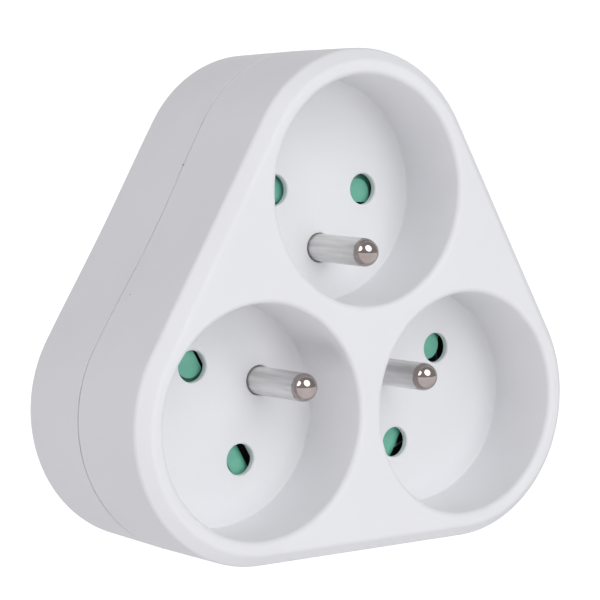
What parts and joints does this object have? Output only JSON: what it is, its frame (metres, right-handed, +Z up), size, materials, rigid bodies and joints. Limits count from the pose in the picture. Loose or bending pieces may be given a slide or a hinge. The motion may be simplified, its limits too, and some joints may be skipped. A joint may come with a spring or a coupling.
{
  "type": "multi socket adapter",
  "caption": "Rounded triangular plug-in adapter with shuttered round socket wells in front and a round plug boss with pins behind.",
  "frame": {"origin": "centre of the plug's engagement face", "axes": "+Y into the wall along the plug pins, +Z up towards the top socket, +X to the right seen from the front"},
  "size_m": [0.091, 0.0704, 0.0852],
  "materials": {
    "white_plastic": "satin moulded thermoset",
    "green_plastic": "satin mint green",
    "plated_pins": "nickel plated, brushed shank and polished tip",
    "brass": "bare sheet",
    "steel": "zinc plated"
  },
  "bodies": {
    "housing": {"front_cover": "white_plastic", "rear_cover": "white_plastic", "plug_boss": "white_plastic", "contact_carrier": "white_plastic", "line_bar": "brass", "neutral_bar": "brass", "earth_bar": "brass", "plug_pin_line": "plated_pins", "plug_pin_neutral": "plated_pins", "plug_earth_socket": "brass", "earth_clip": "plated_pins", "cover_screws": "steel", "well_floor_top": "white_plastic", "earth_pin_top": "plated_pins", "shutter_spring_top": "steel", "line_contact_top": "brass", "neutral_contact_top": "brass", "well_floor_right": "white_plastic", "earth_pin_right": "plated_pins", "shutter_spring_right": "steel", "line_contact_right": "brass", "neutral_contact_right": "brass", "well_floor_left": "white_plastic", "earth_pin_left": "plated_pins", "shutter_spring_left": "steel", "line_contact_left": "brass", "neutral_contact_left": "brass"},
    "shutter_top": {"shutter_top": "green_plastic"},
    "shutter_right": {"shutter_right": "green_plastic"},
    "shutter_left": {"shutter_left": "green_plastic"}
  },
  "joints": [
    {"name": "shutter_slide_top", "type": "slide", "parent": "housing", "child": "shutter_top", "axis": [0, 0, 1], "range_m": [0, 0.0048], "stiffness_N_per_m": 200, "springref_m": -0.002, "deforming": ["shutter_spring_top"]},
    {"name": "shutter_slide_right", "type": "slide", "parent": "housing", "child": "shutter_right", "axis": [0.866, 0, -0.5], "range_m": [0, 0.0048], "stiffness_N_per_m": 200, "springref_m": -0.002, "deforming": ["shutter_spring_right"]},
    {"name": "shutter_slide_left", "type": "slide", "parent": "housing", "child": "shutter_left", "axis": [-0.866, 0, -0.5], "range_m": [0, 0.0048], "stiffness_N_per_m": 200, "springref_m": -0.002, "deforming": ["shutter_spring_left"]}
  ]
}
